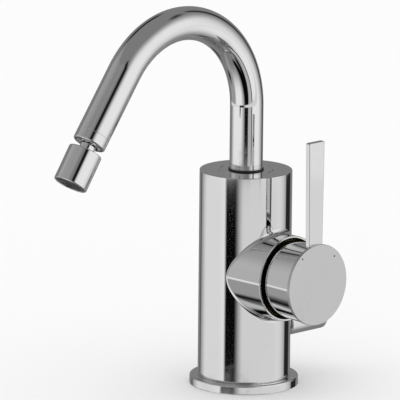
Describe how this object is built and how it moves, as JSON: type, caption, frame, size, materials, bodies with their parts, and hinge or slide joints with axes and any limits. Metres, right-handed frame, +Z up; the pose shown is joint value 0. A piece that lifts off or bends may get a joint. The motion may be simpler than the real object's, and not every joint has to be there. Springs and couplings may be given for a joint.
{
  "type": "bidet mixer",
  "caption": "Deck-mounted single-lever bidet mixer with a round column, swivelling bent spout, ball-jointed aerator and side handle.",
  "frame": {"origin": "centre of the underside of the base flange, on the deck", "axes": "+Z up along the column, -Y the way the spout points at rest, +X out along the handle axis"},
  "size_m": [0.0844, 0.1968, 0.2132],
  "materials": {
    "chrome": "polished chrome plating",
    "satin": "satin chrome, fine round brushing",
    "brass": "machined brass",
    "copper": "drawn copper tube",
    "steel": "stainless steel",
    "ceramic": "ground alumina ceramic",
    "housing": "pale moulded plastic",
    "driver": "blue-grey moulded plastic",
    "dark": "black low-friction plastic",
    "rubber": "black rubber",
    "insert": "dark grey moulded plastic"
  },
  "bodies": {
    "mixer_body": {"base_flange": "chrome", "base_gasket": "rubber", "base_block": "brass", "body_shell": "chrome", "inlet_pipe_hot": "copper", "inlet_pipe_cold": "copper", "outlet_pipe": "copper", "valve_body": "brass", "cartridge_seals": "rubber", "cartridge_base": "housing", "fixed_ceramic_disc": "ceramic", "cartridge_housing": "housing", "cartridge_nut": "brass", "spout_socket": "chrome", "spout_lock_screw": "steel", "waste_bush": "chrome", "waste_ball_retainer": "housing"},
    "temperature": {"stem_carrier": "driver", "stem_pin": "steel", "carrier_ring": "rubber"},
    "handle": {"cartridge_stem": "brass", "handle_hub": "chrome", "handle_face": "satin", "lever_bar": "chrome", "handle_grub_screw": "steel"},
    "disc_slide": {"moving_ceramic_disc": "ceramic", "disc_driver": "driver"},
    "spout": {"spout_foot": "brass", "spout_foot_rings": "rubber", "glide_ring": "dark", "spout_tube": "chrome", "end_ring": "chrome"},
    "aerator_turn": {"ball_seal": "rubber"},
    "aerator": {"swivel_ball": "chrome", "aerator_housing": "chrome", "aerator_gasket": "rubber", "aerator_insert": "insert"},
    "waste_lever": {"waste_rod": "steel", "waste_knob": "chrome"},
    "waste_link": {"waste_link": "steel", "waste_link_pin": "steel"}
  },
  "joints": [
    {"name": "spout_swivel", "type": "hinge", "parent": "mixer_body", "child": "spout", "pos_m": [0, 0, 0.11], "axis": [0, 0, 1], "range_deg": [-60, 60]},
    {"name": "aerator_spin", "type": "hinge", "parent": "spout", "child": "aerator_turn", "pos_m": [0, -0.11513, 0.15215], "axis": [0, -0.5934, -0.8049], "range_deg": [-90, 90]},
    {"name": "aerator_tilt", "type": "hinge", "parent": "aerator_turn", "child": "aerator", "pos_m": [0, -0.11513, 0.15215], "axis": [1, 0, 0], "range_deg": [-14, 10]},
    {"name": "temperature_turn", "type": "hinge", "parent": "mixer_body", "child": "temperature", "pos_m": [0.033, 0, 0.0633], "axis": [1, 0, 0], "range_deg": [-45, 45]},
    {"name": "flow_tilt", "type": "hinge", "parent": "temperature", "child": "handle", "pos_m": [0.033, 0, 0.0633], "axis": [0, 1, 0], "range_deg": [0, 14]},
    {"name": "disc_travel", "type": "slide", "parent": "temperature", "child": "disc_slide", "axis": [0, 0, 1], "range_m": [0, 0.0041]},
    {"name": "waste_tilt", "type": "hinge", "parent": "mixer_body", "child": "waste_lever", "pos_m": [0, 0.0235, 0.028], "axis": [1, 0, 0], "range_deg": [-12, 12]},
    {"name": "waste_link_hang", "type": "hinge", "parent": "waste_lever", "child": "waste_link", "pos_m": [0, 0.006, 0.028], "axis": [1, 0, 0], "range_deg": [-13, 13]}
  ],
  "couplings": [
    {"joint": "disc_travel", "follows": "flow_tilt", "m_per_rad": 0.0162},
    {"joint": "waste_link_hang", "follows": "waste_tilt", "ratio": -1}
  ]
}
